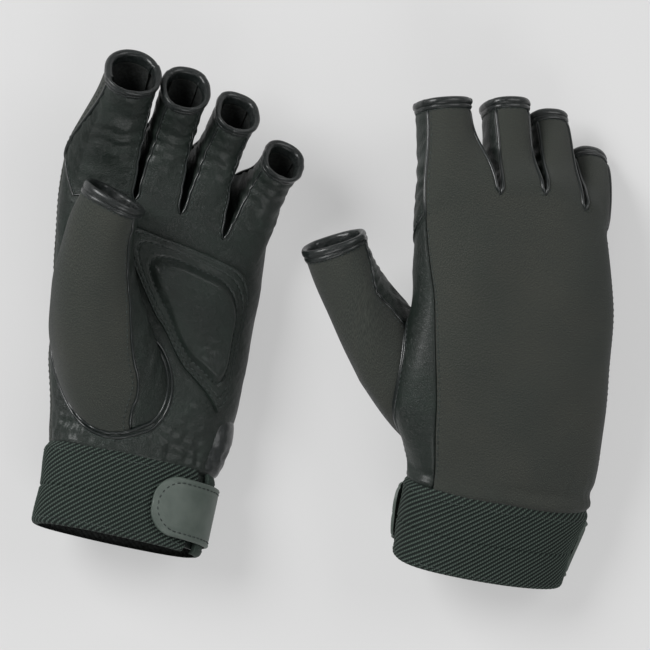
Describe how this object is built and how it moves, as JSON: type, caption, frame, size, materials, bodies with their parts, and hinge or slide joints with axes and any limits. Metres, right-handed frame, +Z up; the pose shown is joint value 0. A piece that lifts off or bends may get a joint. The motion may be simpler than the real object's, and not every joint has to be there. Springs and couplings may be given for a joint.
{
  "type": "sailing gloves",
  "caption": "Pair of short-finger sailing gloves with stretch backs, leather palms with a raised patch, elastic cuffs and hook-and-loop wrist tabs.",
  "frame": {"origin": "bottom centre of the pair's bounding box, where the left glove's back rests", "axes": "+X from the left glove to the right glove, +Y from the cuffs to the fingers, +Z up"},
  "size_m": [0.2494, 0.2318, 0.0734],
  "materials": {
    "neoprene": "dark warm-grey knitted face on thin neoprene, matt",
    "leather": "soft synthetic leather, fine grain, low sheen, wrinkled",
    "binding": "narrow leather binding folded over the edge, slight sheen",
    "webbing": "coarse elastic webbing with diagonal ribs, matt",
    "tab": "smooth grey-green coated tab, satin",
    "hook": "short plastic hooks on a thin backing",
    "foam": "thin foam pad, hidden under the palm patch"
  },
  "bodies": {
    "left_hand": {"left_hand_back": "neoprene", "left_palm_panel": "leather", "left_palm_patch": "leather", "left_palm_pad": "foam", "left_cuff_elastic": "webbing", "left_thumb_root_back": "neoprene", "left_thumb_root_inner": "leather"},
    "left_index": {"left_index_back": "neoprene", "left_index_front": "leather", "left_index_little_side_wall": "leather", "left_index_binding": "binding"},
    "left_middle": {"left_middle_back": "neoprene", "left_middle_front": "leather", "left_middle_little_side_wall": "leather", "left_middle_thumb_side_wall": "leather", "left_middle_binding": "binding"},
    "left_ring": {"left_ring_back": "neoprene", "left_ring_front": "leather", "left_ring_little_side_wall": "leather", "left_ring_thumb_side_wall": "leather", "left_ring_binding": "binding"},
    "left_little": {"left_little_back": "neoprene", "left_little_front": "leather", "left_little_thumb_side_wall": "leather", "left_little_binding": "binding"},
    "left_thumb": {"left_thumb_back": "neoprene", "left_thumb_inner": "leather", "left_thumb_binding": "binding"},
    "left_strap": {"left_strap_tab": "tab", "left_strap_hook_patch": "hook"},
    "right_hand": {"right_hand_back": "neoprene", "right_palm_panel": "leather", "right_palm_patch": "leather", "right_palm_pad": "foam", "right_cuff_elastic": "webbing", "right_thumb_root_back": "neoprene", "right_thumb_root_inner": "leather"},
    "right_index": {"right_index_back": "neoprene", "right_index_front": "leather", "right_index_little_side_wall": "leather", "right_index_binding": "binding"},
    "right_middle": {"right_middle_back": "neoprene", "right_middle_front": "leather", "right_middle_little_side_wall": "leather", "right_middle_thumb_side_wall": "leather", "right_middle_binding": "binding"},
    "right_ring": {"right_ring_back": "neoprene", "right_ring_front": "leather", "right_ring_little_side_wall": "leather", "right_ring_thumb_side_wall": "leather", "right_ring_binding": "binding"},
    "right_little": {"right_little_back": "neoprene", "right_little_front": "leather", "right_little_thumb_side_wall": "leather", "right_little_binding": "binding"},
    "right_thumb": {"right_thumb_back": "neoprene", "right_thumb_inner": "leather", "right_thumb_binding": "binding"},
    "right_strap": {"right_strap_tab": "tab", "right_strap_hook_patch": "hook"}
  },
  "joints": [
    {"name": "lift_right_glove", "type": "slide", "parent": "left_hand", "child": "right_hand", "axis": [0, 0, 1], "range_m": [0, 0.2]},
    {"name": "left_index_bend", "type": "hinge", "parent": "left_hand", "child": "left_index", "pos_m": [-0.09455, 0.05148, 0.04166], "axis": [0.9696, -0.1519, -0.1919], "range_deg": [-6, 20]},
    {"name": "left_middle_bend", "type": "hinge", "parent": "left_hand", "child": "left_middle", "pos_m": [-0.07106, 0.04889, 0.04096], "axis": [0.9662, -0.1688, -0.1948], "range_deg": [-6, 60]},
    {"name": "left_ring_bend", "type": "hinge", "parent": "left_hand", "child": "left_ring", "pos_m": [-0.05224, 0.04071, 0.03612], "axis": [0.9337, -0.2842, -0.2177], "range_deg": [-6, 60]},
    {"name": "left_little_bend", "type": "hinge", "parent": "left_hand", "child": "left_little", "pos_m": [-0.03578, 0.02967, 0.02764], "axis": [0.8881, -0.3966, -0.2322], "range_deg": [-6, 30]},
    {"name": "left_thumb_bend", "type": "hinge", "parent": "left_hand", "child": "left_thumb", "pos_m": [-0.10077, 0.00843, 0.06218], "axis": [0.9926, -0.1202, -0.0195], "range_deg": [0, 45]},
    {"name": "left_strap_peel", "type": "hinge", "parent": "left_hand", "child": "left_strap", "pos_m": [-0.05143, -0.08483, 0.01941], "axis": [0.202, 0.9663, -0.1593], "range_deg": [0, 90]},
    {"name": "right_index_bend", "type": "hinge", "parent": "right_hand", "child": "right_index", "pos_m": [0.05312, 0.03153, 0.0359], "axis": [-0.9372, -0.0451, 0.3459], "range_deg": [-6, 30]},
    {"name": "right_middle_bend", "type": "hinge", "parent": "right_hand", "child": "right_middle", "pos_m": [0.07593, 0.03594, 0.02363], "axis": [-0.9392, -0.0015, 0.3435], "range_deg": [-6, 45]},
    {"name": "right_ring_bend", "type": "hinge", "parent": "right_hand", "child": "right_ring", "pos_m": [0.09534, 0.03307, 0.01787], "axis": [-0.9391, 0.0333, 0.3419], "range_deg": [-6, 45]},
    {"name": "right_little_bend", "type": "hinge", "parent": "right_hand", "child": "right_little", "pos_m": [0.11044, 0.02611, 0.01591], "axis": [-0.9322, 0.129, 0.3381], "range_deg": [-6, 40]},
    {"name": "right_thumb_bend", "type": "hinge", "parent": "right_hand", "child": "right_thumb", "pos_m": [0.0266, 0.00878, 0.03626], "axis": [-0.7954, -0.3017, -0.5256], "range_deg": [0, 30]},
    {"name": "right_strap_peel", "type": "hinge", "parent": "right_hand", "child": "right_strap", "pos_m": [0.10535, -0.09616, 0.00516], "axis": [-0.3574, -0.9307, -0.0779], "range_deg": [0, 90]}
  ]
}
